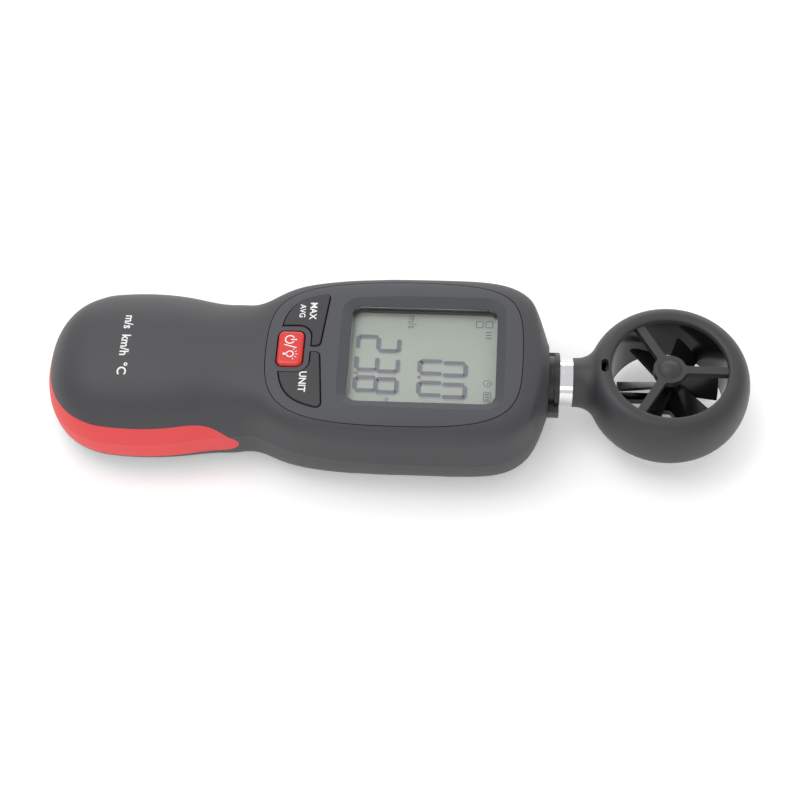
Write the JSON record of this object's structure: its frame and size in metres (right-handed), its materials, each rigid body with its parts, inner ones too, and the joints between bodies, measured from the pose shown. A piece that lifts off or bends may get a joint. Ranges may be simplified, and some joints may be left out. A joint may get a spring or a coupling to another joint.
{
  "type": "vane anemometer",
  "caption": "Handheld air-speed meter with a waisted handle, a liquid crystal display, keys and a small ducted impeller in a round head that swivels on the end of the body.",
  "frame": {"origin": "under the middle of the instrument, on the flat it lies on, display up", "axes": "+X from the handle to the impeller head, along the swivel axis; +Z out of the display; +Y across the body, to the left when the display is read with the head up"},
  "size_m": [0.1781, 0.052, 0.0251],
  "materials": {
    "body_plastic": "fine-textured charcoal ABS",
    "head_plastic": "fine-textured near-black ABS",
    "plate_plastic": "smooth satin grey ABS",
    "trim_rubber": "soft-touch red elastomer",
    "red_plastic": "glossy red key cap",
    "black_gloss": "glossy black moulding",
    "window_clear": "clear acrylic",
    "lcd_glass": "grey-green liquid crystal glass",
    "light_guide": "milky light guide",
    "zebra_rubber": "conductive silicone strip",
    "board_green": "solder-masked board",
    "chip_black": "moulded package",
    "switch_metal": "tinned switch frame",
    "plunger_plastic": "black switch button",
    "steel": "zinc-plated steel",
    "nickel": "nickel-plated contact",
    "chrome": "polished chrome plate",
    "bronze": "sintered bronze",
    "bush_plastic": "black acetal",
    "o_ring_rubber": "black nitrile",
    "cell_jacket": "plain printed jacket",
    "magnet": "sintered ferrite",
    "thermistor_glass": "epoxy-dipped bead"
  },
  "bodies": {
    "root": {"front_shell": "body_plastic", "back_cover": "body_plastic", "side_trim": "trim_rubber", "faceplate": "plate_plastic", "display_window": "window_clear", "lcd_panel": "lcd_glass", "backlight": "light_guide", "zebra_strips": "zebra_rubber", "main_board": "board_green", "main_chip": "chip_black", "key_switches": "switch_metal", "board_screws": "steel", "case_screws": "steel", "battery_door": "body_plastic", "door_screw": "steel", "battery_cells": "cell_jacket", "battery_contacts": "nickel", "battery_springs": "nickel", "swivel_bush": "bush_plastic", "o_ring": "o_ring_rubber"},
    "head": {"swivel_spindle": "steel", "swivel_sleeve": "chrome", "stop_ring": "steel", "retaining_clip": "steel", "head_front_shell": "head_plastic", "head_back_shell": "head_plastic", "duct_ring": "black_gloss", "front_spider": "head_plastic", "rear_spider": "head_plastic", "front_bearing": "bronze", "rear_bearing": "bronze", "head_screws": "steel", "pickup_board": "board_green", "pickup_chip": "chip_black", "thermistor": "thermistor_glass"},
    "impeller": {"impeller": "black_gloss", "impeller_shaft": "steel", "rotor_magnet": "magnet"},
    "power_key": {"power_key": "red_plastic", "power_plunger": "plunger_plastic"},
    "max_key": {"max_key": "plate_plastic", "max_plunger": "plunger_plastic"},
    "unit_key": {"unit_key": "plate_plastic", "unit_plunger": "plunger_plastic"}
  },
  "joints": [
    {"name": "head_swivel", "type": "hinge", "parent": "root", "child": "head", "pos_m": [0.04133, 0, 0.0128], "axis": [1, 0, 0], "range_deg": [-135, 135]},
    {"name": "impeller_spin", "type": "hinge", "parent": "head", "child": "impeller", "pos_m": [0.06857, 0, 0.0128], "axis": [0, 0, 1], "continuous": true},
    {"name": "power_press", "type": "slide", "parent": "root", "child": "power_key", "axis": [0, 0, -1], "range_m": [0, 0.0005], "stiffness_N_per_m": 1200, "springref_m": -0.0002},
    {"name": "max_press", "type": "slide", "parent": "root", "child": "max_key", "axis": [0, 0, -1], "range_m": [0, 0.0005], "stiffness_N_per_m": 1200, "springref_m": -0.0002},
    {"name": "unit_press", "type": "slide", "parent": "root", "child": "unit_key", "axis": [0, 0, -1], "range_m": [0, 0.0005], "stiffness_N_per_m": 1200, "springref_m": -0.0002}
  ]
}
